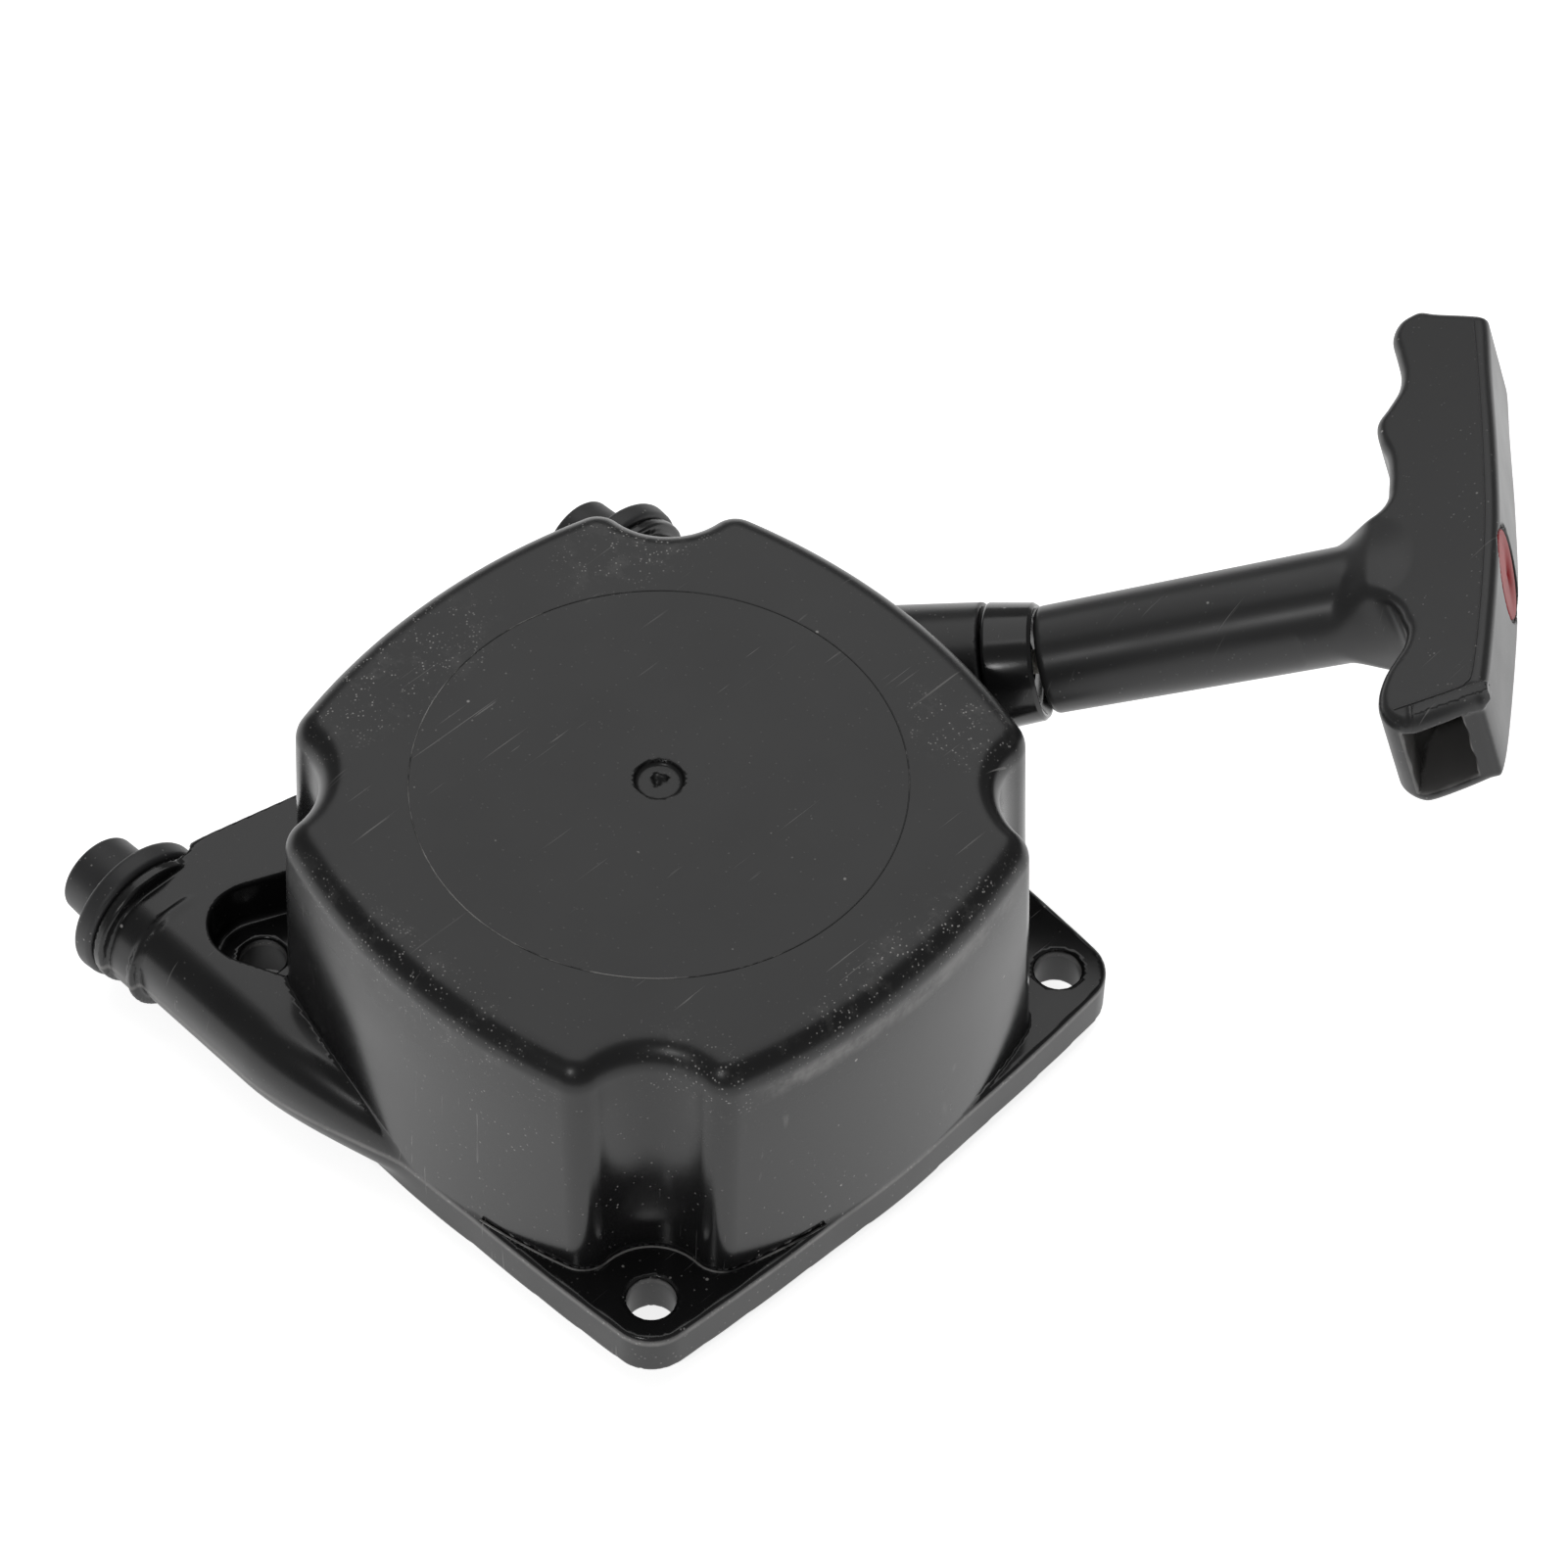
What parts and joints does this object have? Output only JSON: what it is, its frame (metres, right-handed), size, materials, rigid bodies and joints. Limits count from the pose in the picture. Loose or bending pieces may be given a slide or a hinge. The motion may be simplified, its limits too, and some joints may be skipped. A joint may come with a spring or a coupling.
{
  "type": "recoil starter",
  "caption": "Pull starter for a small two-stroke engine: a square domed black housing with rope reel, pawls and recoil spring inside, and a T handle on a rope.",
  "frame": {"origin": "centre of the bolt pattern on the mounting face, on the reel's axis", "axes": "+Z away from the engine along the reel's axis, -X toward the cushion pins, +X +Y the way the rope leaves"},
  "size_m": [0.1485, 0.2009, 0.0686],
  "materials": {
    "black_plastic": "injection moulded, semi-gloss",
    "rubber": "matt black rubber",
    "spring_steel": "blued spring strip and wire",
    "steel": "zinc plated",
    "brass": "turned brass",
    "rope": "braided cord",
    "red_disc": "printed red disc with a clear coat"
  },
  "bodies": {
    "housing": {"housing": "black_plastic", "post_insert": "brass", "rope_bushing": "black_plastic", "cushion_left": "rubber", "cushion_right": "rubber", "recoil_spring": "spring_steel", "spring_anchor": "steel", "friction_spring": "spring_steel", "retaining_washer": "steel", "centre_screw": "steel", "rope_run": "rope"},
    "reel": {"rope_reel": "black_plastic", "rope_coil": "rope", "reel_knot": "rope", "pawl_pins": "steel", "pawl_spring_a": "spring_steel", "pawl_spring_b": "spring_steel"},
    "guide": {"guide_plate": "steel"},
    "pawl_a": {"pawl_a": "steel"},
    "pawl_b": {"pawl_b": "steel"},
    "rope_line": {"handle_knot": "rope"},
    "handle": {"handle_grip": "black_plastic", "knot_washer": "steel", "handle_badge": "red_disc"}
  },
  "joints": [
    {"name": "rope_pull", "type": "slide", "parent": "housing", "child": "rope_line", "axis": [0.681, 0.6623, 0.3123], "range_m": [0, 0.7], "stiffness_N_per_m": 30, "springref_m": -0.4, "deforming": ["rope_run"]},
    {"name": "reel_spin", "type": "hinge", "parent": "housing", "child": "reel", "pos_m": [0, 0, 0.027], "axis": [0, 0, 1], "range_deg": [-1360, 0], "deforming": ["recoil_spring"]},
    {"name": "handle_swivel", "type": "hinge", "parent": "rope_line", "child": "handle", "pos_m": [0.0534, 0.10041, 0.05312], "axis": [0.681, 0.6623, 0.3123], "continuous": true},
    {"name": "guide_lag", "type": "hinge", "parent": "reel", "child": "guide", "pos_m": [0, 0, 0.011], "axis": [0, 0, 1], "range_deg": [0, 6.7], "stiffness_Nm_per_rad": 0.02, "springref_deg": -11.46},
    {"name": "pawl_a_swing", "type": "hinge", "parent": "reel", "child": "pawl_a", "pos_m": [0.021, 0, 0.0165], "axis": [0, 0, 1], "range_deg": [0, 30], "deforming": ["pawl_spring_a"]},
    {"name": "pawl_b_swing", "type": "hinge", "parent": "reel", "child": "pawl_b", "pos_m": [-0.021, 0, 0.0165], "axis": [0, 0, 1], "range_deg": [0, 30], "deforming": ["pawl_spring_b"]}
  ],
  "couplings": [
    {"joint": "reel_spin", "follows": "rope_pull", "rad_per_m": -33.8},
    {"joint": "pawl_a_swing", "follows": "guide_lag", "ratio": 4.45},
    {"joint": "pawl_b_swing", "follows": "guide_lag", "ratio": 4.45}
  ]
}
